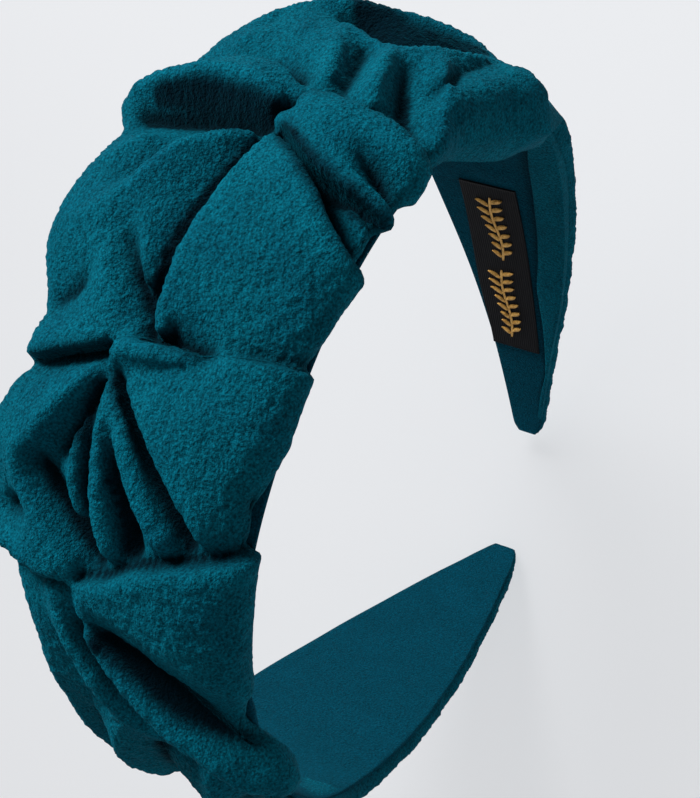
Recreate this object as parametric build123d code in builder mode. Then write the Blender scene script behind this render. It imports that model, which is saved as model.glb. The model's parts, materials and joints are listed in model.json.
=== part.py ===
"""Knotted headband: a springy moulded hoop, padded, lined and wrapped in knotted suede.

The hoop stands as it is worn. X runs across the head, to the wearer's left. Y runs
from the face to the back of the head. Z points up through the crown. The origin is
the centre of the arc that sits on the crown.

The real core, foam, lining and cover each run from tip to tip in one piece, and the
hoop opens because its plastic core bends. Here each is cut at two flex lines, so that
the hoop is three rigid bodies: the crown, the left arm and the right arm.
"""

from math import copysign, cos, degrees, hypot, radians, sin, tan
import os

from build123d import *

# --- Driving dimensions, in millimetres and degrees -------------------------------

# The seat line: the inner face of the lining, seen from the front.
seat_radius = 60.0
seat_half_angle = 113.0      # the seat arc ends here, measured from the crown
arm_bend_radius = 295.0      # below the seat arc the arms straighten out
arm_length = 81.0            # from the end of the seat arc to the tip

# Layers, each measured outwards from the seat line.
lining_thickness = 1.0
core_thickness = 2.0
glue_line = 0.1
foam_at_crown = 3.5
foam_at_tip = 1.0
thread_room = 0.7            # space between the foam and the cover, for the stitches
cover_at_crown = 10.0        # outer face of the gathered cover
cover_at_tip = 5.4
hem_setback = 0.7            # the turned-in hems lie this far outside the seat line
cavity_overcut = 5.0         # the cavity's cut starts this far inside the seat line
cover_edge_radius = 4.0

# Widths, from the face side to the back.
crown_width = 44.0
tip_height = -93.4           # where the cover's outline ends, below the origin
rim_thickness = 2.0          # cover folded round each long edge
rim_clearance = 0.1          # between the folded cover and the lining's edge
core_rim_margin = 1.0        # the core stops short of the lining's edge
taper_start = 24.0           # height at which the arms start to narrow
arm_width_stations = (-15.0, -43.0, -66.0, -87.0)
arm_widths = {
    "left_arm": (34.5, 26.5, 17.0, 9.5),
    "right_arm": (36.5, 33.5, 24.5, 11.5),
}

# Flex lines: where the crown ends and the arms begin.
flex_angle = 50.0
flex_gap = 0.4               # slot through the core and the lining
flex_relief_angle = 26.0     # notch through the padding, wider than the arm's swing
arm_spline_spans = 6         # spans in the curve of each layer's outer face, down an arm

# Knots in the cover, by angle from the crown: the left side is positive.
knot_angles = {
    "crown": (-30.0, 0.0, 33.0),
    "left_arm": (60.0,),
    "right_arm": (-56.0,),
}
knot_offset_back = 4.0       # the knots sit a little behind the middle
tack_length = 7.0
tack_spacing = 1.6
tack_radius = 0.25

# Woven label, on the inner face of the left arm.
label_start = 1.3            # from the end of the seat arc
label_length = 50.0
label_width = 12.5
label_thickness = 0.4
label_sink = 0.1             # the label lies this far below the lining's face
label_offset_back = 2.2

# Raised gold embroidery on the label: a plain sprig, a stem with a leaf on each side.
motif_height = 0.3
motif_margin = 7.0           # from each end of the label
stem_width = 0.7
leaf_length = 4.2
leaf_width = 1.5
leaf_tilt = 38.0
leaf_pairs = 6
leaf_clearance = 0.15        # between a leaf and the stem
leaf_gap = 0.02              # a flat leaf just clears the curved label

# --- Worked-out values -------------------------------------------------------------

core_inner = lining_thickness + glue_line
core_outer = core_inner + core_thickness
foam_inner = core_outer + glue_line
foam_outer_crown = foam_inner + foam_at_crown
foam_outer_tip = foam_inner + foam_at_tip
cavity_crown = foam_outer_crown + thread_room
cavity_tip = foam_outer_tip + thread_room
seat_arc_length = radians(seat_half_angle) * seat_radius
flex_distance = radians(flex_angle) * seat_radius
half_length = seat_arc_length + arm_length
label_top = seat_arc_length + label_start
label_place = Pos(0, label_offset_back, 0)
arm_bend_angle = degrees(arm_length / arm_bend_radius)
lining_margin = rim_thickness + rim_clearance
core_margin = lining_margin + core_rim_margin
stem_length = label_length - 2 * motif_margin
# Half the depth of a tilted leaf, so that it clears the stem
leaf_half_depth = hypot(
    leaf_length / 2 * sin(radians(leaf_tilt)), leaf_width / 2 * cos(radians(leaf_tilt))
)
leaf_reach = stem_width / 2 + leaf_clearance + leaf_half_depth
reach = 100.0                # more than the band's own width or depth, for cutting

# Each arm is drawn in a plane whose local x points to its own side of the head and
# whose local y points up, so that both arms share one set of outlines.
side_plane = {
    "left_arm": Plane.XZ,
    "right_arm": Plane(origin=(0, 0, 0), x_dir=(-1, 0, 0), z_dir=(0, 1, 0)),
}
bodies = ("crown", "left_arm", "right_arm")


def turn_at(distance):
    """Direction of the seat line's outward normal, in radians from straight up."""
    if distance <= seat_arc_length:
        return distance / seat_radius
    return radians(seat_half_angle) + (distance - seat_arc_length) / arm_bend_radius


def arm_bend_centre():
    """Centre of the gentle bend of an arm, in the arm's own plane."""
    pull_back = seat_radius - arm_bend_radius
    end = radians(seat_half_angle)
    return (pull_back * sin(end), pull_back * cos(end))


def hoop_point(distance, offset):
    """Point at a distance along the seat line from the crown, moved outwards."""
    turn = turn_at(distance)
    if distance <= seat_arc_length:
        centre_x, centre_z, radius = 0, 0, seat_radius
    else:
        centre_x, centre_z = arm_bend_centre()
        radius = arm_bend_radius
    return (centre_x + (radius + offset) * sin(turn), centre_z + (radius + offset) * cos(turn))


def tapered(distance, at_crown, at_tip):
    """Offset that is constant over the crown and changes evenly down the arm."""
    share = max(0.0, (distance - flex_distance) / (half_length - flex_distance))
    return at_crown + (at_tip - at_crown) * share


def crown_section(inner, outer):
    """Ring sector between the two flex lines, seen from the front."""
    with BuildSketch(Plane.XZ) as section:
        with BuildLine():
            low = CenterArc((0, 0), seat_radius + inner, 90 - flex_angle, 2 * flex_angle)
            high = CenterArc((0, 0), seat_radius + outer, 90 - flex_angle, 2 * flex_angle)
            Line(low @ 0, high @ 0)
            Line(low @ 1, high @ 1)
        make_face()
    return section.sketch


def arm_section(body, inner, outer_crown, outer_tip):
    """One layer of an arm, from its flex line to its tip, seen from the front."""
    step = (half_length - flex_distance) / arm_spline_spans
    distances = [flex_distance + step * n for n in range(arm_spline_spans + 1)]
    with BuildSketch(side_plane[body]) as section:
        with BuildLine():
            seat = CenterArc(
                (0, 0), seat_radius + inner, 90 - flex_angle, flex_angle - seat_half_angle
            )
            bend = CenterArc(
                arm_bend_centre(), arm_bend_radius + inner, 90 - seat_half_angle, -arm_bend_angle
            )
            back = Spline(*[hoop_point(s, tapered(s, outer_crown, outer_tip)) for s in distances])
            Line(seat @ 0, back @ 0)
            Line(bend @ 1, back @ 1)
        make_face()
    return section.sketch


def outline(body, margin):
    """The band's outline seen from the side, drawn in by a margin."""
    half_crown = crown_width / 2 - margin
    with BuildSketch(Plane.YZ) as leaf:
        if body == "crown":
            Rectangle(2 * half_crown, 2 * reach)
        else:
            stations = zip(arm_width_stations, arm_widths[body])
            waist = [(width / 2 - margin, height) for height, width in stations]
            with BuildLine():
                taper = Spline(
                    (half_crown, taper_start),
                    *waist,
                    (0, tip_height + margin),
                    tangents=[(0, -1), (-1, 0)],
                )
                Polyline(taper @ 0, (half_crown, reach), (0, reach), taper @ 1)
            make_face()
            mirror(about=Plane.YZ)
    return leaf.sketch


def band(body, inner, outer_crown, outer_tip, margin):
    """One layer of the band on one body: its front view cut to its side view."""
    with BuildPart() as slab:
        if body == "crown":
            front_view = crown_section(inner, outer_crown)
        else:
            front_view = arm_section(body, inner, outer_crown, outer_tip)
        extrude(front_view, amount=reach, both=True)
        extrude(outline(body, margin), amount=reach, both=True, mode=Mode.INTERSECT)
    return slab.part


def inner_strip(start, length, inner, outer):
    """Sector that follows the inside of the left arm, seen from the front."""
    first = 90 - seat_half_angle - degrees((start - seat_arc_length) / arm_bend_radius)
    sweep = -degrees(length / arm_bend_radius)
    with BuildSketch(side_plane["left_arm"]) as section:
        with BuildLine():
            low = CenterArc(arm_bend_centre(), arm_bend_radius + inner, first, sweep)
            high = CenterArc(arm_bend_centre(), arm_bend_radius + outer, first, sweep)
            Line(low @ 0, high @ 0)
            Line(low @ 1, high @ 1)
        make_face()
    return section.sketch


def label_plane(distance, sideways):
    """Plane on the label's face: x runs down the arm, z points to the head."""
    turn = turn_at(distance)
    x, z = hoop_point(distance, label_sink - leaf_gap)
    return Plane(
        origin=(x, label_offset_back + sideways, z),
        x_dir=(cos(turn), 0, -sin(turn)),
        z_dir=(-sin(turn), 0, -cos(turn)),
    )


os.makedirs("parts", exist_ok=True)

# Slot and notch at both flex lines, which let the arms swing without touching.
pivot_radius = seat_radius + core_outer
notch_half_width = flex_gap / 2 + reach * tan(radians(flex_relief_angle / 2))
with BuildPart() as flex_relief:
    for angle in (radians(flex_angle), radians(-flex_angle)):
        across = Plane(origin=(0, 0, 0), x_dir=(cos(angle), 0, -sin(angle)), z_dir=(0, -1, 0))
        with BuildSketch(across):
            with BuildLine():
                Polyline(
                    (-flex_gap / 2, seat_radius / 2),
                    (-flex_gap / 2, pivot_radius),
                    (-notch_half_width, pivot_radius + reach),
                    (notch_half_width, pivot_radius + reach),
                    (flex_gap / 2, pivot_radius),
                    (flex_gap / 2, seat_radius / 2),
                    close=True,
                )
            make_face()
        extrude(amount=reach, both=True)

# --- Lining: the smooth suede strip that rests on the hair ------------------------

with BuildPart() as label_pocket:
    pocket_floor = label_sink + label_thickness + rim_clearance
    pocket_strip = inner_strip(label_top, label_length, -lining_thickness, pocket_floor)
    extrude(pocket_strip, amount=label_width / 2, both=True)

for body in bodies:
    with BuildPart() as lining:
        add(band(body, 0, lining_thickness, lining_thickness, lining_margin))
        add(flex_relief.part, mode=Mode.SUBTRACT)
        if body == "left_arm":
            add(label_place * label_pocket.part, mode=Mode.SUBTRACT)
    lining.part.label = f"{body}_lining"
    export_step(lining.part, f"parts/{body}_lining.step")

# --- Core: the moulded plastic spring that holds the hoop's shape ------------------

for body in bodies:
    with BuildPart() as core:
        add(band(body, core_inner, core_outer, core_outer, core_margin))
        add(flex_relief.part, mode=Mode.SUBTRACT)
    core.part.label = f"{body}_core"
    export_step(core.part, f"parts/{body}_core.step")

# --- Foam: the padding strip over the core, thinner towards the tips ---------------

for body in bodies:
    with BuildPart() as foam:
        add(band(body, foam_inner, foam_outer_crown, foam_outer_tip, core_margin))
        add(flex_relief.part, mode=Mode.SUBTRACT)
    foam.part.label = f"{body}_foam"
    export_step(foam.part, f"parts/{body}_foam.step")

# --- Cover: the knotted suede, folded round both long edges and the tips -----------

for body in bodies:
    with BuildPart() as cover:
        add(band(body, hem_setback, cover_at_crown, cover_at_tip, 0))
        if body == "crown":
            outer_face = cover.faces().sort_by(SortBy.AREA)[-1]
            fillet(outer_face.edges().filter_by(GeomType.CIRCLE), cover_edge_radius)
        add(band(body, -cavity_overcut, cavity_crown, cavity_tip, rim_thickness), mode=Mode.SUBTRACT)
        add(flex_relief.part, mode=Mode.SUBTRACT)
    cover.part.label = f"{body}_cover"
    export_step(cover.part, f"parts/{body}_cover.step")

# --- Knot tacks: short bars of thread that hold each knot down, three to a knot ----

for body in bodies:
    with BuildPart() as tacks:
        for angle in knot_angles[body]:
            for step in (-1, 0, 1):
                distance = radians(angle) * seat_radius + step * tack_spacing
                foam_face = tapered(abs(distance), foam_outer_crown, foam_outer_tip)
                x, z = hoop_point(abs(distance), foam_face + thread_room / 2)
                place = (copysign(x, distance), knot_offset_back, z)
                with Locations(Location(place, (90, 0, 0))):
                    Cylinder(tack_radius, tack_length)
    tacks.part.label = f"{body}_knot_tacks"
    export_step(tacks.part, f"parts/{body}_knot_tacks.step")

# --- Woven label, and the gold sprig embroidered on it ------------------------------

with BuildPart() as woven_label:
    tape_strip = inner_strip(label_top, label_length, label_sink, label_sink + label_thickness)
    extrude(tape_strip, amount=label_width / 2, both=True)
label_tape = label_place * woven_label.part
label_tape.label = "woven_label"
export_step(label_tape, "parts/woven_label.step")


with BuildPart() as stem:
    stem_start = label_top + motif_margin
    stem_strip = inner_strip(stem_start, stem_length, label_sink - motif_height, label_sink)
    extrude(stem_strip, amount=stem_width / 2, both=True)

with BuildPart() as label_motif:
    add(label_place * stem.part)
    for pair in range(leaf_pairs):
        along = stem_start + stem_length * (pair + 0.5) / leaf_pairs
        for side in (-1, 1):
            with BuildSketch(label_plane(along, side * leaf_reach)):
                with Locations(Rotation(0, 0, side * leaf_tilt)):
                    Ellipse(leaf_length / 2, leaf_width / 2)
            extrude(amount=motif_height)
label_motif.part.label = "label_motif"
export_step(label_motif.part, "parts/label_motif.step")
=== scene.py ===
"""The knotted headband's looks: suede cover, lining, label, light and camera.

Lengths are in millimetres until a mesh is made. A place on the band is given by s, the
distance along the lining from the crown (positive towards the wearer's left), y, the
distance across it (negative towards the face), and h, the height outside the lining.
On the cover, v is the distance over its surface from the middle of its top, with y's sign.
"""

import json
from math import cos, pi, radians, sin

import bpy
import numpy as np
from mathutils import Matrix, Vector


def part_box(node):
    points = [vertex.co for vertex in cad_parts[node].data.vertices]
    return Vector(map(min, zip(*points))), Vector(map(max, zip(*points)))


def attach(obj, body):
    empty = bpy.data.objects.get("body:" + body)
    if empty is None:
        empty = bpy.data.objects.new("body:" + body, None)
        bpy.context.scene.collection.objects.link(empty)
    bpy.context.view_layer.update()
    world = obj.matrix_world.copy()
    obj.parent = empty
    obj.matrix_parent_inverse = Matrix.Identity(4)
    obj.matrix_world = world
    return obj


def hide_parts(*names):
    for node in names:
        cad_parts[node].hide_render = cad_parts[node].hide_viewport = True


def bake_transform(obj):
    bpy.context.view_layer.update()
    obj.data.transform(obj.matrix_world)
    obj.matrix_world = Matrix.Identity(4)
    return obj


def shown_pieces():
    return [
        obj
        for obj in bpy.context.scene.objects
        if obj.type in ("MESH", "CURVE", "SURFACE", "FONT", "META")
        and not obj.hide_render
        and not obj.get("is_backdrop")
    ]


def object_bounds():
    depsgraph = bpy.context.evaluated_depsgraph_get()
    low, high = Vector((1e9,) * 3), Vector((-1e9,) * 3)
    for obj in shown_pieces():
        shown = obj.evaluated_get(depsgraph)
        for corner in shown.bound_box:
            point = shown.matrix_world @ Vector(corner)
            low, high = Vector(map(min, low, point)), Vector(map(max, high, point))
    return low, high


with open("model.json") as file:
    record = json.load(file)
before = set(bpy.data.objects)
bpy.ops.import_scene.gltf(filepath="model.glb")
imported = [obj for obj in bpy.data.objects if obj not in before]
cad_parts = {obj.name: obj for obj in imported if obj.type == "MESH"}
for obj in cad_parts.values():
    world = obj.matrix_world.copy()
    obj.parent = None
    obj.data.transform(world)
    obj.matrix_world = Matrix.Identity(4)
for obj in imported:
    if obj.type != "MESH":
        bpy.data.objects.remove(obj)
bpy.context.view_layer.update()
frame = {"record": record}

MM = 0.001
LEFT, RIGHT = 1, -1
ARMS = {"left": LEFT, "right": RIGHT}

# --- The hoop, as the frame has it --------------------------------------------------

seat = frame["record"]["mounts"][0]
SEAT_RADIUS = seat["dims"]["r_mm"]
SEAT_END = radians(113)             # where the seat arc gives way to the straighter arm
SEAT_ARC = SEAT_END * SEAT_RADIUS
ARM_BEND_RADIUS = 295.0
TIP = {LEFT: 199.8, RIGHT: 203.5}   # length of each side, from crown to tip
TIP_ROUNDING = 4.6                  # each tip rounds off over this length
HALF_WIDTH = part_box("crown_cover")[1].y / MM

# The cover's long edges: (distance from the crown, distance from the middle of the band),
# drawn for a band whose half width is OUTLINE_HALF_WIDTH
OUTLINE_HALF_WIDTH = 22
FRONT_EDGE = {
    LEFT: [
        (0, 22), (20, 23), (38, 22.8), (50, 20.6), (60, 21), (70, 22.6), (80, 22.8), (84, 21.6),
        (88.5, 18.2), (110, 16.8), (126, 14.9), (150, 11.2), (170, 7.0), (190, 3.6), (196, 2.6),
        (200, 1.4),
    ],
    RIGHT: [
        (0, 22), (20, 21.2), (30, 20.6), (40, 21), (47, 22), (52, 24.2), (57, 25.4), (62, 24.8),
        (67, 21.8), (90, 20.5), (110, 18.8), (126, 18.4), (150, 15.9), (170, 12.6), (185, 9.6),
        (194, 7.6), (203.5, 5.2),
    ],
}
BACK_EDGE = {
    LEFT: [
        (0, 20.8), (4, 20.6), (8, 22.4), (13, 24.6), (26, 25.4), (30, 26), (36, 29), (41, 27.8),
        (48, 25.8), (60, 24.6), (72, 23.5), (90, 19.5), (110, 16.8), (126, 14.9), (150, 11.3),
        (170, 8.5), (190, 5.8), (196, 4.9), (200, 3.8),
    ],
    RIGHT: [
        (0, 20.8), (5, 22), (12, 23), (28, 22.2), (36, 20), (42, 17.6), (50, 16.2), (75, 16.4),
        (95, 17.8), (110, 18.6), (126, 18.4), (150, 15.9), (170, 11.8), (185, 7.6), (194, 4.2),
        (203.5, 1.0),
    ],
}

# Height of the padded cover at the middle of the band, before any folds: (s, height)
BODY_HEIGHT = [
    (-203.5, 4.2), (-170, 5.2), (-130, 6.2), (-100, 6.8), (-75, 6.8), (-55, 7.0), (-40, 8.0),
    (0, 8.6), (30, 9.0), (50, 9.8), (68, 10.4), (84, 9.4), (100, 7.8), (130, 6.2), (170, 5.2),
    (200, 4.2),
]


def smooth_curve(x, points):
    """Smooth line through (x, value) points that never overshoots between them."""
    px, pv = np.array(points, float).T
    gap = np.diff(px)
    rise = np.diff(pv) / gap
    slope = np.zeros_like(pv)
    same_way = rise[:-1] * rise[1:] > 0
    mean = 2 * rise[:-1] * rise[1:] / np.where(same_way, rise[:-1] + rise[1:], 1)
    slope[1:-1] = np.where(same_way, mean, 0)
    x = np.clip(x, px[0], px[-1])
    i = np.clip(np.searchsorted(px, x) - 1, 0, len(gap) - 1)
    t = (x - px[i]) / gap[i]
    return (
        pv[i] * (1 + 2 * t) * (1 - t) ** 2
        + slope[i] * gap[i] * t * (1 - t) ** 2
        + pv[i + 1] * t * t * (3 - 2 * t)
        + slope[i + 1] * gap[i] * t * t * (t - 1)
    )


def edge_distance(s, outline):
    """Distance of one long edge from the middle of the band."""
    either_side = np.where(s >= 0, smooth_curve(s, outline[LEFT]), smooth_curve(-s, outline[RIGHT]))
    return HALF_WIDTH / OUTLINE_HALF_WIDTH * either_side


def front_edge(s):
    """The cover's front edge, as a distance in front of the band's middle."""
    return edge_distance(s, FRONT_EDGE)


def back_edge(s):
    """The cover's back edge, as a distance behind the band's middle."""
    return edge_distance(s, BACK_EDGE)


def tip_narrowing(s):
    """How far the width has shrunk where each tip rounds off: 1 along the arm, 0 at its end."""
    left_over = np.clip((np.where(s >= 0, TIP[LEFT], TIP[RIGHT]) - np.abs(s)) / TIP_ROUNDING, 0, 1)
    return np.sqrt(1 - (1 - left_over) ** 2)


def on_band(s, y, h):
    """Points in the row frame, in metres, from places on the band."""
    side = np.where(s >= 0, 1.0, -1.0)
    d = np.abs(s)
    on_seat = d <= SEAT_ARC
    turn = np.where(on_seat, d / SEAT_RADIUS, SEAT_END + (d - SEAT_ARC) / ARM_BEND_RADIUS)
    pull = np.where(on_seat, 0.0, SEAT_RADIUS - ARM_BEND_RADIUS)
    radius = np.where(on_seat, SEAT_RADIUS, ARM_BEND_RADIUS) + h
    x = side * (pull * sin(SEAT_END) + radius * np.sin(turn))
    z = pull * cos(SEAT_END) + radius * np.cos(turn)
    return np.stack([x, y + 0 * x, z], -1) * MM


def between(low, high, part):
    """Mix of two values: low where part is 0, high where it is 1."""
    return low * (1 - part) + high * part


def along_stretch(s, start, rise, fall, end):
    """1 along a stretch of the band, running out to 0 at its start and at its end."""
    return np.clip((s - start) / rise, 0, 1) * np.clip((end - s) / fall, 0, 1)


def arc_length(points):
    """Distance along a polyline, starting from 0."""
    return np.concatenate([[0], np.cumsum(np.linalg.norm(np.diff(points, axis=0), axis=1))])


NOISE_LATTICE = 64


def lattice_noise(u, v, cell, seed):
    """Smooth random field with features about one cell across, from -1 to 1."""
    values = np.random.default_rng(seed).uniform(-1, 1, (NOISE_LATTICE, NOISE_LATTICE))
    a, b = u / cell, v / cell
    i, j = np.floor(a).astype(int), np.floor(b).astype(int)
    fa, fb = a - i, b - j
    fa, fb = fa * fa * (3 - 2 * fa), fb * fb * (3 - 2 * fb)

    def row(k):
        column, next_column = i % NOISE_LATTICE, (i + 1) % NOISE_LATTICE
        return between(values[column, k % NOISE_LATTICE], values[next_column, k % NOISE_LATTICE], fa)

    return between(row(j), row(j + 1), fb)


# --- Folds of the cover -------------------------------------------------------------
# Each fold is a line of (s, v, height) over the padded body. The cloth is stretched
# like a membrane between them. A knot pulls it down, and ridges fan out of the knots.
# From the wearer's left come section Z, knot 1, section A, knot 2 near the crown, section B,
# knot 3, section C, knot 4 and section D.

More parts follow.
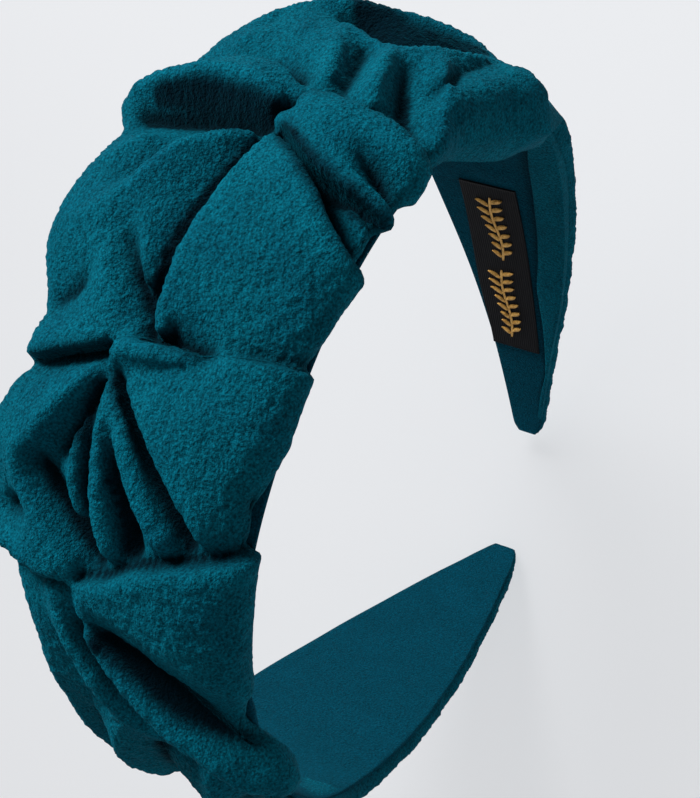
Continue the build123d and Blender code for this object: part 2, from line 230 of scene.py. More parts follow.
FOLDS = [
    # Knot 1, and the roll of cloth behind it
    [(33.4, 25, -2.8), (34.2, 18, -3.3), (35, 12, -3.4), (35.4, 6, -3.4), (35.4, 1.8, -3.2)],
    [(36.6, 27, 1.2), (37.8, 22, 1.9), (39, 16, 2.2), (39.8, 10, 2.1), (39.4, 5, 1.7), (38.4, 1.7, 0.8)],
    [(40.8, 25, -0.6), (42.8, 18, 0.6), (44.2, 12, 0.8), (44.2, 6, 0.6), (42.2, 1.5, 0.2),
     (39.8, -1, -0.4)],
    [(42.2, 26, -2.2), (44.4, 19, -1.9), (45.6, 12, -1.7), (45.4, 5, -1.5), (43.2, 0.6, -1.4)],
    [(35.6, 2.2, -2.8), (37.2, 0.6, -2.4), (39.4, -1.5, -1.8)],
    # Section A, between knots 1 and 2
    [(1.7, 0.3, -2.2), (6, 1.6, -2.5), (12, 1.3, -2.6), (20, 0.8, -2.6), (27, 0.1, -2.7),
     (34.3, 0.4, -2.9)],
    [(3, -1.6, 0.2), (8, -0.5, 0.8), (14, -0.8, 1.1), (20, -1.3, 1.2), (27, -2.2, 1.0), (33, -2.2, 0.0)],
    [(5.6, 2.6, -2.2), (9, 5.6, -2.0), (11.5, 8, -1.5), (13.5, 10, -0.6)],
    [(8.4, 3.9, -0.6), (12, 6.2, 0.1), (16, 8, 0.5)],
    [(2.5, 4.5, -0.6), (5.5, 7.5, 0.4), (9, 11, 0.8), (11, 14, 0.8)],
    [(33, 3, -0.8), (30, 5.6, 0.6), (26, 9, 1.5), (21, 11.5, 1.8), (16, 14.5, 1.8), (13.5, 18, 1.4),
     (13, 22, 1.0)],
    [(20, 16.5, -0.2), (24, 14, -1.2), (28, 11.5, -1.8), (30.5, 8, -2.2), (32.5, 4.5, -2.6)],
    [(20, 24, 0.8), (24, 20, 0.9), (28, 17.5, 0.2)],
    [(3, 19, -1.2), (5, 16, -1.3), (8, 13.5, -0.2)],
    # Section A, front: the lobe's edge, the inset pleat and the flap by knot 1
    [(32, -3.5, 0.2), (28, -8.5, 1.2), (24.5, -13.5, 1.4), (21, -18, 1.4), (18.6, -22, 1.2),
     (16.6, -27, 1.0)],
    [(32.8, -3.3, -2.4), (28.9, -8.9, -3.4), (25.3, -14, -2.8), (21.8, -18.7, -2.0), (19.4, -22.5, -1.8),
     (17.4, -27, -1.6)],
    [(24, -24, -0.7), (26, -18.5, -1.2)],
    [(34.2, -2, 0.0), (31, -8, 1.0), (29.3, -13, 1.2), (28, -18, 1.3), (26.4, -26, 1.0)],
    [(33.4, -2.4, -2.6), (30.1, -8.4, -3.4), (28.4, -13, -3.2), (27.1, -18, -2.4), (25.4, -26, -2.0)],
    [(35.5, -0.5, 0.2), (35.6, -6, 1.5), (35.6, -13, 1.7), (34.8, -20, 1.5), (33.5, -27, 1.2)],
    [(33.4, -15.5, 0.2), (32, -18.5, -1.8), (30.8, -21, -1.9), (29, -26, -1.4)],
    [(39, -2.5, 1.2), (39.2, -10, 1.5), (38.4, -18, 1.4), (36.6, -26, 1.1)],
    [(39.8, -2.5, -1.2), (40.0, -10, -1.2), (39.2, -18, -1.2), (37.4, -26, -1.0)],
    # Knot 2: the small bridging roll, the hem of A over B, and the edge of B's flap
    [(-1.4, 5, 0.2), (-0.2, 3, 1.2), (0.3, -1, 1.5), (0.7, -5, 1.2), (1.3, -8.5, 0.7)],
    [(1.9, 0.5, -2.0), (1.85, -3, -2.0), (1.9, -7, -2.0), (2.6, -10.3, -1.2)],
    [(1.9, -3, -1.8), (3.6, -3.4, -1.3), (5.6, -4.4, -0.2)],
    [(-2.5, 1.6, -0.5), (-1.2, -3.5, -0.2), (0.2, -7.8, -0.2)],
    [(1.9, -12.5, 1.0), (2.8, -17, 1.1), (4, -26, 1.0)],
    [(2.6, -12.3, -0.7), (3.5, -17, -0.9), (4.7, -26, -0.8)],
    [(0.4, 5.6, 0.2), (-0.6, 8, 1.0), (-2.6, 14, 1.3), (-4.4, 19, 0.9), (-5.5, 25, 0.4)],
    [(-0.4, 5.3, -1.6), (-1.4, 7.8, -1.7), (-3.4, 13.7, -1.4), (-5.2, 18.9, -0.9), (-6.1, 23, -0.3)],
    # Section B, between knots 2 and 3: ridges that fan out of knot 2
    [(-2.5, 5.8, -0.8), (-5, 8, 0.4), (-9, 10.5, 1.4), (-13, 13, 1.9), (-17, 15.8, 1.9),
     (-19.6, 15.6, 1.6), (-22.8, 12.8, 1.2), (-25.6, 9.2, 1.0), (-27.8, 6.4, 0.8), (-29.2, 4.8, 0.5)],
    [(-16.4, 13.2, -0.8), (-19, 11.2, -2.3), (-22, 8, -2.9), (-24.4, 4.9, -3.2), (-26.4, 2.3, -3.2),
     (-27.4, 1, -3.0)],
    [(-15.5, 9.5, -1.3), (-12, 7.6, -2.1), (-8, 6.5, -2.5), (-4.8, 5.3, -2.4)],
    [(-5, 5.6, -0.9), (-10, 7.0, -0.3), (-15, 7.2, 0.0), (-19, 6.6, -0.2), (-22, 5.2, -0.8)],
    [(-8, 5.3, -1.1), (-13, 5.3, -1.6), (-18, 4.6, -2.1), (-22, 3.2, -2.5), (-25.6, 1.3, -2.9)],
    [(-4.6, 4.6, -0.6), (-10, 3.4, 0.4), (-15, 2.2, 0.8), (-20, 0.7, 1.0), (-25, -1.4, 0.8)],
    [(-10, 1.8, -0.6), (-14, 0.4, -1.4), (-17, -1.4, -2.1), (-20, -3, -2.6), (-22.6, -4.4, -2.9),
     (-24.2, -5.3, -2.8)],
    [(-4.4, 4.0, -0.4), (-9.2, 0, 0.8), (-12.8, -2.7, 1.2), (-16.1, -5.3, 1.3), (-19.5, -8.6, 1.2),
     (-21.4, -10.8, 1.1)],
    [(-3.5, 3.6, -1.6), (-6.4, 0.7, -2.8), (-8.6, -1.8, -3.1), (-13.3, -7.2, -3.3), (-18, -12.2, -3.2),
     (-20, -14.1, -3.0)],
    [(-3.9, 0.9, 0.0), (-8.2, -4.1, 0.5), (-12.8, -9.4, 0.6), (-17.2, -14.1, 0.6), (-19, -15.8, 0.5)],
    [(-5.2, -7, 0.6), (-5.6, -16, 1.0), (-5.8, -26, 0.8)],
    [(-10.2, -20.5, 0.2), (-12, -21.6, -0.6), (-14, -22.4, -1.3), (-14.6, -26, -1.1)],
    [(-25, 18.5, -2.0), (-24.2, 15, -1.2)],
    # Knot 3: C's flap over B in front, B's lobe over C behind
    [(-31.6, 4.2, 0.2), (-29.8, -1, 1.3), (-27, -6, 1.6), (-25, -11, 1.6), (-23.6, -15.4, 1.5),
     (-22, -20, 1.2), (-20.6, -26, 0.8)],
    [(-30.3, 3.8, -1.3), (-28.3, -1.2, -0.9), (-25.6, -5.8, -0.8), (-23.6, -10.8, -0.9),
     (-22.2, -15.2, -1.1), (-20.6, -19.8, -1.2), (-19.2, -26, -0.9)],
    [(-31.2, 5.8, 0.3), (-31, 9, 1.2), (-30.6, 13, 1.5), (-30, 17, 1.5), (-29.5, 24, 1.2)],
    [(-32, 6, -1.0), (-31.9, 9.5, -1.2), (-31.5, 13, -1.4), (-31, 17, -1.6), (-30.4, 24, -1.4)],
    # Section C, and the fat roll that ends on the front rim
    [(-31.4, 4.4, 0.2), (-32.6, 0.5, 0.9), (-33.3, -4, 1.2), (-34.2, -9, 1.2), (-35.8, -14, 1.1),
     (-38.6, -19, 1.1), (-42, -24, 1.2)],
    [(-36, 3.0, -0.6), (-38.4, 1.0, -1.6), (-40.4, -3, -2.4), (-42.6, -7.6, -2.9), (-45, -12, -3.1),
     (-47.2, -16.2, -3.0), (-49.2, -20.6, -2.6), (-50.6, -26, -2.2)],
    [(-31.8, 4.0, -0.2), (-35, 3.2, 0.6), (-39.4, 0.8, 1.2), (-43.4, -4, 1.7), (-47.4, -9.4, 2.1),
     (-50.6, -14.8, 2.4), (-54, -19.6, 2.4), (-58, -23.4, 1.8)],
    [(-34, 5.8, -0.6), (-39, 4.0, -1.1), (-44, 0.2, -1.8), (-48.4, -3.8, -2.7), (-52, -7.8, -3.2),
     (-54.6, -12, -3.4)],
    [(-31.8, 9.8, 0.0), (-36, 7.6, 1.0), (-41, 5, 1.4), (-46, 1.4, 1.6), (-51, -2, 1.3), (-54, -5, 0.6),
     (-56, -8, -0.6)],
    [(-62, -3, -1.2), (-58.4, -8, -2.3), (-56, -12, -3.2), (-57.8, -16, -3.2), (-61, -19.6, -2.8),
     (-64.8, -23, -2.2), (-66.6, -27, -1.6)],
    [(-51.6, -26, 0.6), (-55, -27, 1.8), (-59, -27, 2.2), (-63, -27, 1.4)],
    [(-34, 15, -0.8), (-40, 12, -0.6), (-47, 8, -0.8), (-55, 5, -1.2)],
    # Knot 4 and section D, on the way to the right arm
    [(-60.4, -14, 0.8), (-64.6, -14, 1.4), (-71, -11, 1.2), (-78, -6, 0.2)],
    [(-58, 2, 0.6), (-64, 4, 1.4), (-71, 5, 1.4), (-78, 3, 0.4)],
    [(-60, -4, -1.6), (-68, -2, -2.0), (-76, -1, -2.4), (-80, -1, -2.8)],
    [(-50, 16, 1.0), (-58, 14, 1.4), (-68, 14, 1.2), (-77, 10, 0.4)],
    [(-60, 9, -0.8), (-68, 9.5, -1.2), (-76, 6, -1.8)],
    [(-68, -19.5, -1.2), (-72.6, -14.6, -1.5), (-77, -9, -1.8)],
    # Section Z, beyond knot 1, and the roll at the last knot on the left
    [(40.2, -6.3, -1.6), (45, -5.2, -1.4), (50, -3.6, -1.4), (54.6, -2, -1.0)],
    [(40.4, -19.5, -2.0), (42, -17.5, -2.2), (45, -15, -1.8), (50, -12, -1.4), (53.5, -10.2, -0.8)],
    [(41, -12, 0.8), (46, -10, 1.3), (52, -7.5, 1.1), (54.6, -6.3, 0.8)],
    [(44.5, -2.4, 0.6), (50, 0, 1.1), (56, 3, 1.1)],
    [(41, -24, 0.8), (47, -21, 1.2), (53, -17, 1.0), (57.5, -13.8, 0.6)],
    [(60, 5.4, 0.7), (58.4, 2, 0.6), (56.6, -1.5, 0.6), (56.2, -5, 0.6), (58, -8.6, 0.6),
     (60.6, -10.9, 0.5), (63.8, -13.4, 0.3), (67, -15.8, 0.0)],
    [(61.6, 6, -1.8), (60.2, 2.6, -3.0), (58.6, -1, -3.3), (58.5, -4.5, -3.3), (60.4, -7.3, -3.1),
     (63, -9.5, -2.7), (66.2, -12, -2.0)],
    [(63, 5.4, -1.0), (62, 2, -2.3), (61, -1.4, -2.6), (61.5, -4.3, -2.6), (63.4, -6.7, -2.4),
     (66, -8.8, -2.0), (69, -11, -1.2)],
    [(55, 22, 0.6), (57.5, 17, 1.8), (60.5, 13, 2.6), (63.6, 9, 3.0), (66.2, 4.6, 2.7), (68.4, 0, 2.0),
     (70.8, -4, 1.5), (73.6, -8, 1.3), (77, -13, 1.0)],
    [(76, 26, -1.4), (77, 14, -1.8), (77, 3, -1.6)],
    [(42, -28, 0.4), (48, -28, 2.4), (54, -28, 4.4), (60, -28, 5.4), (67, -28, 5.6), (74, -28, 5.6),
     (80, -28, 5.2), (84, -28, 3.0), (86.5, -28, 0.0)],
    [(45, -22, 0.4), (52, -22, 1.1), (60, -22, 1.3), (68, -22, 1.0), (76, -22, 0.0), (82, -22, -0.6),
     (85, -22, -1.0)],
    [(85.6, -13, -0.6), (87, -17, -1.2), (87.8, -20.5, -1.0)],
    [(70, -20, 0.0), (74, -21.5, -1.0), (79, -22.5, -1.3), (83, -23, -0.6)],
    [(72, -25, 0.4), (77, -25.5, -0.4), (82, -26, 0.2)],
    [(46, -19.5, 0.0), (52, -17.5, -0.9), (60, -16.5, -1.0), (68, -17, -0.8)],
    [(58, 16, 0.8), (50, 17, 0.8)],
    # The arms: a few lengthwise gathers that run out of the last knots
    [(79, 2, -1.6), (88, 5, -0.8), (100, 7, -0.3)],
    [(78, -3, -1.8), (88, -6, -1.0), (99, -8, -0.3)],
    [(80, 8, 0.6), (90, 10, 0.7), (100, 11, 0.3)],
    [(79, -9, 0.7), (89, -12, 0.7), (100, -13, 0.2)],
    [(79, 0, 0.2), (88, 0, 0.8), (98, 0, 0.4)],
    [(-82, 3, -1.8), (-90, 6, -0.9), (-101, 8, -0.3)],
    [(-82, -3, -1.8), (-91, -6, -0.9), (-102, -8, -0.3)],
    [(-82, 9, 0.6), (-92, 11, 0.7), (-102, 11, 0.3)],
    [(-82, -9, 0.7), (-92, -12, 0.6), (-102, -13, 0.2)],
    [(-83, 0, 0.2), (-91, 0, 0.8), (-100, 0, 0.4)],
]

# Broad swellings of the padded sections: (s, v, height, reach along, reach across)
PUFFS = [
    (17, -9, 0.8, 13, 12), (20, 9, 0.3, 12, 9), (-13, -17, 0.5, 10, 9), (-26, 12, 0.4, 8, 9),
    (-31, -17, 0.6, 9, 9), (-47, -14, 0.4, 7, 12), (52, 8, 0.5, 9, 12), (-66, 0, 0.5, 12, 14),
    (84, -17, -6.0, 9, 10), (-60, 14, -1.2, 10, 8),
]

# Deep hollows, too dark to see into, given painted shade: lines of (s, v, reach)
HOLLOW_SHADES = [
    [(66, 7.4, 2.0), (64.8, 3, 4.2), (64, -1.4, 5.4), (64.8, -4.6, 5.4), (66.8, -7.4, 4.6),
     (69.2, -10, 3.4), (71.6, -12.4, 1.8)],
    [(-16, 0.4, 0.6), (-20, -2.6, 1.6), (-23.6, -4.6, 2.4)],
    [(-4.2, 3.4, 0.7), (-8.6, -1.2, 1.3), (-13.3, -6.4, 1.6), (-18, -11.4, 1.8), (-20.6, -13.8, 1.6)],
    [(-17.4, 12.4, 1.0), (-21, 9, 1.6), (-24.4, 5.2, 1.6), (-27.2, 1.4, 1.4)],
    [(-39, 1, 1.0), (-42.4, -6.6, 2.0), (-45.2, -12, 2.6), (-48, -17.4, 2.0), (-50, -22, 1.2)],
    [(-50, -6, 1.0), (-54.6, -11.6, 2.0), (-58, -16, 1.4)],
    [(36, 22, 1.4), (37.2, 12, 2.3), (37.2, 4, 2.1), (38, 1, 1.1)],
    [(34, 1.2, 1.0), (26, 1.7, 1.5), (14, 2.8, 1.7), (6, 2.6, 1.3)],
    [(32, -4.6, 1.0), (28.6, -9.6, 1.8), (25.2, -14.4, 1.2)],
    [(48, -14, 1.0), (44, -16.4, 1.4), (41.4, -18.4, 0.8)],
    [(-30.2, 3.6, 0.6), (-28, -1.4, 0.9), (-25.3, -6, 0.9), (-23.3, -11, 0.9), (-21.9, -15.4, 0.8),
     (-20.4, -20, 0.7)],
]

MEMBRANE_S = 112.0      # the folds' grid covers this far each way along the band
MEMBRANE_V = 36.0       # and this far each way across it
MEMBRANE_CELL = 0.3
MEMBRANE_PASSES = 150
COARSEST = 12           # the membrane is first solved on a grid about this wide
PRESSURE = 0.010
CREASE_DEPTH = 1.5      # how much deeper than drawn the creases go
RIDGE_HEIGHT = 1.35     # how much higher than drawn the ridges go
CREASE_BELOW = -0.9     # a line drawn lower than this keeps its sharp edge
SHADE_BELOW = -1.2      # a crease deeper than this is shaded
DARKEST_DEPTH = 4       # a crease this deep has the full shade
LEAN = 0.34             # how far slopes lean out over the creases
STEEPEST = 3.5          # no slope leans more than this one
CREST_GAIN = 2.2        # how soon the leaning starts towards a crest
HOLLOW_SHADE_GAIN = 2.2       # how soon a hollow's painted shade turns dark towards its line

# How many times a grid is averaged with its neighbours for each use
CRISP_BLUR, SOFT_BLUR = 2, 8
CREASE_BLUR, SHADE_BLUR = 24, 26
CREASE_GAIN, SHADE_GAIN = 9, 10     # bring a blurred line back to full strength
RELIEF_BLUR = 260
SLOPE_BLUR, CREST_BLUR, CREST_SURROUNDINGS_BLUR = 3, 10, 40


def spread_along(fold, step):
    """Evenly spaced points on a smooth line through a fold's points."""
    points = np.array(fold, float)
    reach = arc_length(points[:, :2])
    at = np.arange(0, reach[-1] + step, step)
    return np.stack([smooth_curve(at, np.stack([reach, column], 1)) for column in points.T], -1)


def average_down(values, weights):
    """Halves the grid's resolution, keeping the mean of the known cells."""
    rows, columns = (n // 2 * 2 for n in values.shape)

    def block_sums(grid):
        return grid[:rows, :columns].reshape(rows // 2, 2, columns // 2, 2).sum((1, 3))

    weight = block_sums(weights)
    return block_sums(values * weights) / np.maximum(weight, 1), np.minimum(weight, 1)


def neighbour_sum(field):
    """For each cell of a grid, the sum of the four cells beside it."""
    around = np.pad(field, 1, mode="edge")
    return around[:-2, 1:-1] + around[2:, 1:-1] + around[1:-1, :-2] + around[1:-1, 2:]


def stretch_membrane(values, known, pressure):
    """Fills the unknown cells like a membrane that the pressure bulges outwards."""
    if min(values.shape) > COARSEST:
        coarse = stretch_membrane(*average_down(values, known), pressure * 4)
        rows = np.minimum(np.arange(values.shape[0]) // 2, coarse.shape[0] - 1)
        columns = np.minimum(np.arange(values.shape[1]) // 2, coarse.shape[1] - 1)
        field = coarse[rows][:, columns]
    else:
        field = np.zeros_like(values)
    for _ in range(MEMBRANE_PASSES):
        field = np.where(known > 0, values, neighbour_sum(field) / 4 + pressure)
    return field


def blurred(field, passes):
    """Softens a grid by repeated small averaging."""
    for _ in range(passes):
        field = field / 2 + neighbour_sum(field) / 8
    return field


def drawn_folds():
    """The fold lines on the grid: their heights, the cells they fix, and those in a crease."""
    shape = (int(2 * MEMBRANE_S / MEMBRANE_CELL) + 1, int(2 * MEMBRANE_V / MEMBRANE_CELL) + 1)
    total, count, creased = np.zeros(shape), np.zeros(shape), np.zeros(shape)
    for fold in FOLDS:
        line = spread_along(fold, MEMBRANE_CELL / 2)
        i = np.rint((line[:, 0] + MEMBRANE_S) / MEMBRANE_CELL).astype(int)
        j = np.rint((line[:, 1] + MEMBRANE_V) / MEMBRANE_CELL).astype(int)
        height = line[:, 2]
        np.add.at(total, (i, j), height * np.where(height < 0, CREASE_DEPTH, RIDGE_HEIGHT))
        np.add.at(count, (i, j), 1)
        creased[i, j] = np.maximum(creased[i, j], height < CREASE_BELOW)
    known = (count > 0).astype(float)
    heights = total / np.maximum(count, 1)
    for border in (np.s_[0], np.s_[-1], np.s_[:, 0], np.s_[:, -1]):
        known[border] = 1
        heights[border] = 0
    return heights, known, creased


def puffed(field, s, v):
    """The folds with the broad swellings of the padding added."""
    for at_s, at_v, height, along, across in PUFFS:
        field = field + height * np.exp(-(((s - at_s) / along) ** 2) - ((v - at_v) / across) ** 2)
    return field


def shaded(heights, known, s, v):
    """How little light reaches each place: 0 in the open, 1 at the bottom of a deep crease."""
    # This is painted shade: it darkens the cloth's colour in the deep creases and along the hollows
    deep = np.where(known * heights < SHADE_BELOW, -heights / DARKEST_DEPTH, 0)
    shade = np.clip(blurred(deep, SHADE_BLUR) * SHADE_GAIN, 0, 1)
    for hollow in HOLLOW_SHADES:
        for at_s, at_v, reach in spread_along(hollow, 4 * MEMBRANE_CELL):
            distance = np.hypot(s - at_s, v - at_v)
            shade = np.maximum(shade, np.clip(HOLLOW_SHADE_GAIN * (1 - distance / reach), 0, 1))
    return shade


def fold_field():
    """Three grids over (s, v): the folds' height, their shade, and how far each place stands out."""
    heights, known, creased = drawn_folds()
    s = np.linspace(-MEMBRANE_S, MEMBRANE_S, heights.shape[0])[:, None]
    v = np.linspace(-MEMBRANE_V, MEMBRANE_V, heights.shape[1])[None]
    taut = stretch_membrane(heights, known, PRESSURE * MEMBRANE_CELL ** 2 / 4)
    crisp, soft = blurred(taut, CRISP_BLUR), blurred(taut, SOFT_BLUR)
    near_crease = np.clip(blurred(creased, CREASE_BLUR) * CREASE_GAIN, 0, 1)
    field = puffed(soft + (crisp - soft) * near_crease, s, v)
    return field, shaded(heights, known, s, v), field - blurred(field, RELIEF_BLUR)


def slopes(field):
    """How steeply the folds rise along s and along v, softened and limited, near their crests."""
    rises = np.gradient(blurred(field, SLOPE_BLUR), MEMBRANE_CELL)
    smooth = blurred(field, CREST_BLUR)
    crest = np.clip(CREST_GAIN * (smooth - blurred(smooth, CREST_SURROUNDINGS_BLUR)), 0, 1)
    return [crest * STEEPEST * np.tanh(rise / STEEPEST) for rise in rises]


def sample(field, s, v):
    """Values of a fold grid between its points."""
    a = np.clip((s + MEMBRANE_S) / MEMBRANE_CELL, 0, field.shape[0] - 1.001)
    b = np.clip((v + MEMBRANE_V) / MEMBRANE_CELL, 0, field.shape[1] - 1.001)
    i, j = a.astype(int), b.astype(int)

    def row(k):
        return between(field[i, k], field[i + 1, k], a - i)

    return between(row(j), row(j + 1), b - j)


# --- Mesh helpers --------------------------------------------------------------------


def make_mesh(name, points, faces, material):
    """Smooth-shaded mesh object from points in metres and a list of faces."""
    mesh = bpy.data.meshes.new(name)
    mesh.from_pydata(np.reshape(points, (-1, 3)), [], faces)
    mesh.polygons.foreach_set("use_smooth", [True] * len(mesh.polygons))
    mesh.materials.append(material)
    piece = bpy.data.objects.new(name, mesh)
    bpy.context.collection.objects.link(piece)
    return piece


def set_shade(piece, name, values):
    """Stores one number for each point of a piece, for its material to read."""
    shade = piece.data.attributes.new(name, "FLOAT", "POINT")
    shade.data.foreach_set("value", np.asarray(values, np.float32).ravel())


def tube_faces(rings, around):
    """Quads between closed rings."""
    i, j = np.meshgrid(np.arange(rings - 1), np.arange(around), indexing="ij")
    k = (j + 1) % around
    corners = [i * around + j, (i + 1) * around + j, (i + 1) * around + k, i * around + k]
    return np.stack(corners, -1).reshape(-1, 4)


def end_faces(ring, around):
    """Quads that close a ring by joining its two sides across."""
    j = np.arange(around // 2 - 1)
    return ring * around + np.stack([j, j + 1, around - 2 - j, around - 1 - j], -1)


def closed_tube_faces(rings, around):
    """Quads between closed rings and over both ends."""
    first, last = end_faces(0, around), end_faces(rings - 1, around)
    return np.concatenate([tube_faces(rings, around), first[:, ::-1], last]).tolist()


# --- Cover ----------------------------------------------------------------------------

GRAIN = 0.34            # spacing of the cover's grid where it is folded
FOLDED_END = 104        # distance from the crown where the folds have nearly run out
ARM_GRAIN = 0.62        # spacing of the grid along the smoother arms
TIP_RINGS = 9
TOP_POINTS = 176        # grid points over the outside, rim to rim
UNDER_POINTS = 24       # grid points across the inside
ARCH_STEPS, TURN_STEPS = 300, 20        # steps in which the section's outline is first drawn

RIM_PART = 0.36         # height of the rims, as a part of the cover's height
ROUNDNESS = 2.35        # of the section's arch: 2 is an ellipse, more is squarer
HEM_ROUNDING = 2.4      # radius of the turn from the rim to the inside
HEM_NARROW = 20         # where the band is narrower than this, the turn gets smaller
UNDERSIDE = 0.5         # height of the cover's inside face, hidden in the lining's thickness
FOLD_BOTTOM = 3.6       # no fold is pulled lower than this, where the padding is
FADE_S, FADE_V = 14, 4  # the folds run out over this length before the edges of their grid
TIP_HEIGHT = 2.3        # the tip closes round this height
TIP_WIDTH = 0.12        # width left at the very end, as a part of the arm's
UNDER_NAP = 0.35        # the nap on the inside, as a part of the outside's

# Cloth texture, from fine nap to slow waviness: (height, cell, seed)
NAP = [(0.2, 0.5, 3), (0.12, 1.7, 4), (0.22, 5.5, 5)]
NAP_START = 300         # where on the noise the crown's middle lies

# The line where the cover's two halves meet, (v, s): the deep creases through the middle knot
MEETING = [
    (-28, 5.0), (-26, 4.7), (-17, 3.5), (-12.3, 2.6), (-8, 1.95), (0, 1.8), (3, 0.9), (5.3, -0.4),
    (7.8, -1.4), (13.7, -3.4), (18.9, -5.2), (25, -6.3), (28, -6.8),
]
MEETING_REACH = 30      # the rings stand straight again this far from the crown


def evenly_along(points, count, inner=False):
    """Points spread evenly along a polyline, and their distances from its start."""
    reach = arc_length(points)
    at = np.linspace(0, reach[-1], count + 2)[1:-1] if inner else np.linspace(0, reach[-1], count)
    return np.stack([np.interp(at, reach, column) for column in points.T], -1), at


def cover_section(s):
    """One closed cross-section: (y, h) points, and their distance v from the middle of the top."""
    front_y, back_y = -front_edge(s), back_edge(s)
    top = smooth_curve(s, BODY_HEIGHT)
    rim = RIM_PART * top
    a = np.linspace(pi, 0, ARCH_STEPS)
    across = np.sign(np.cos(a)) * np.abs(np.cos(a)) ** (2 / ROUNDNESS)
    over = np.stack([
        (front_y + back_y) / 2 + (back_y - front_y) / 2 * across,
        rim + (top - rim) * np.sin(a) ** (2 / ROUNDNESS),
    ], -1)
    hem = HEM_ROUNDING * min(1, (back_y - front_y) / HEM_NARROW)
    b = np.linspace(0, pi / 2, TURN_STEPS)[1:]
    down = rim - (rim - UNDERSIDE) * np.sin(b)
    back = np.stack([back_y - hem * (1 - np.cos(b)), down], -1)
    front = np.stack([front_y + hem * (1 - np.cos(b)), down], -1)[::-1]
    under = np.concatenate([over[-1:], back, front, over[:1]])
    top_part, top_at = evenly_along(over, TOP_POINTS)
    under_part, under_at = evenly_along(under, UNDER_POINTS, inner=True)
    middle = np.interp(0, over[:, 0], arc_length(over))
    half = UNDER_POINTS // 2
    v = np.concatenate([
        top_at - middle,
        top_at[-1] - middle + under_at[:half],
        under_at[half:] - arc_length(under)[-1] - middle,
    ])
    return np.concatenate([top_part, under_part]), v


def section_normals(points):
    """Outward directions in the (y, h) plane for closed sections."""
    across = np.roll(points, -1, 1) - np.roll(points, 1, 1)
    normal = np.stack([-across[..., 1], across[..., 0]], -1)
    return normal / np.maximum(np.linalg.norm(normal, axis=-1, keepdims=True), 1e-9)


def ring_places(side):
    """Where the cover's rings stand along one half, from the lowest s to the highest."""
    shoulder = TIP[side] - TIP_ROUNDING
    reach = np.concatenate([
        np.arange(0, FOLDED_END, GRAIN),
        np.arange(FOLDED_END, shoulder, ARM_GRAIN),
        shoulder + TIP_ROUNDING * np.sin(np.linspace(0, pi / 2, TIP_RINGS)),
    ])
    return reach if side == LEFT else -reach[::-1]


def fold_fade(s, v):
    """Lets the folds run out before the edges of their grid."""
    across = np.clip((MEMBRANE_V - np.abs(v)) / FADE_V, 0, 1)
    along = np.clip((MEMBRANE_S - np.abs(s)) / FADE_S, 0, 1)
    return across * along ** 1.5


def nap(s, v):
    """Height of the cloth's own texture, less on the inside of the band."""
    on_top = np.zeros(v.shape[1])
    on_top[:TOP_POINTS] = 1
    height = sum(rise * lattice_noise(s + NAP_START, v + NAP_START, cell, seed) for rise, cell, seed in NAP)
    return height * (UNDER_NAP + (1 - UNDER_NAP) * on_top)


def cover_half(name, side, material):
    """Half of the cover, from the meeting line at the middle knot round the tip of one arm."""
    reach = ring_places(side)
    sections = [cover_section(s) for s in reach]
    flat = np.array([points for points, _ in sections])
    v = np.array([v for _, v in sections])
    # Near the middle knot the rings lean to follow the creases there
    lean = np.clip(1 - np.abs(reach) / MEETING_REACH, 0, 1)[:, None] ** 2
    s = reach[:, None] + lean * smooth_curve(v, MEETING)
    # The tip is rounded: the last rings shrink
    shrink = tip_narrowing(reach)[:, None]
    centre_y = (back_edge(reach) - front_edge(reach))[:, None] / 2
    flat[..., 0] = centre_y + (flat[..., 0] - centre_y) * (TIP_WIDTH + (1 - TIP_WIDTH) * shrink)
    flat[..., 1] = TIP_HEIGHT + (flat[..., 1] - TIP_HEIGHT) * shrink
    # Cloth runs over the top of a fold and tucks under it, so slopes lean out over the creases
    fade = fold_fade(s, v)
    amount = sample(folds, s, v) * fade + nap(s, v)
    slope_s, slope_v = (sample(slope, s, v) * fade for slope in slopes(folds))
    lowest = np.minimum(flat[..., 1], FOLD_BOTTOM)
    normal = section_normals(flat)
    tangent = np.stack([normal[..., 1], -normal[..., 0]], -1)
    flat = flat + (normal * amount[..., None] - tangent * (LEAN * slope_v)[..., None]) * shrink[..., None]
    # A crease stops where the padding would be laid bare
    flat[..., 1] = np.where(amount < 0, np.maximum(flat[..., 1], lowest), flat[..., 1])
    points = on_band(s - LEAN * slope_s, flat[..., 0], flat[..., 1])
    piece = make_mesh(name, points, closed_tube_faces(len(reach), flat.shape[1]), material)
    # Stored for the material: the painted shade of creases and hollows, and the relief that paints shade into
    # valleys and a highlight onto ridges
    for label, field in (("painted_shade", painted_shade), ("relief", relief)):
        set_shade(piece, label, sample(field, s, v) * fade)
    return piece


# --- Strips: the lining, the label and what lies inside ------------------------------------

STRIP_SIDES = 40        # points round a strip's section
STRIP_ARCH = 0.5        # powers that square off the section's sides and faces
STRIP_FLATNESS = 0.16


def strip(name, reach, edges, heights, material, ripple=None, shade=None):
    """Long closed strip with rounded edges, lying along the band."""
    front, back = edges(reach)
    low, high = heights(reach)
    a = np.linspace(0, 2 * pi, STRIP_SIDES, endpoint=False)
    ring_y = np.sign(np.cos(a)) * np.abs(np.cos(a)) ** STRIP_ARCH
    ring_h = np.sign(np.sin(a)) * np.abs(np.sin(a)) ** STRIP_FLATNESS
    s = np.repeat(reach[:, None], STRIP_SIDES, 1)
    y = (front + back)[:, None] / 2 - ring_y * (back - front)[:, None] / 2
    h = (low + high)[:, None] / 2 + ring_h * (high - low)[:, None] / 2
    if ripple is not None:
        h = h + ripple(s, y)
    piece = make_mesh(name, on_band(s, y, h), closed_tube_faces(len(reach), STRIP_SIDES), material)
    if shade is not None:
        # A strip's painted shade, such as the shade in the gap beside the turned hem
        set_shade(piece, "painted_shade", shade(s, y))
    return piece


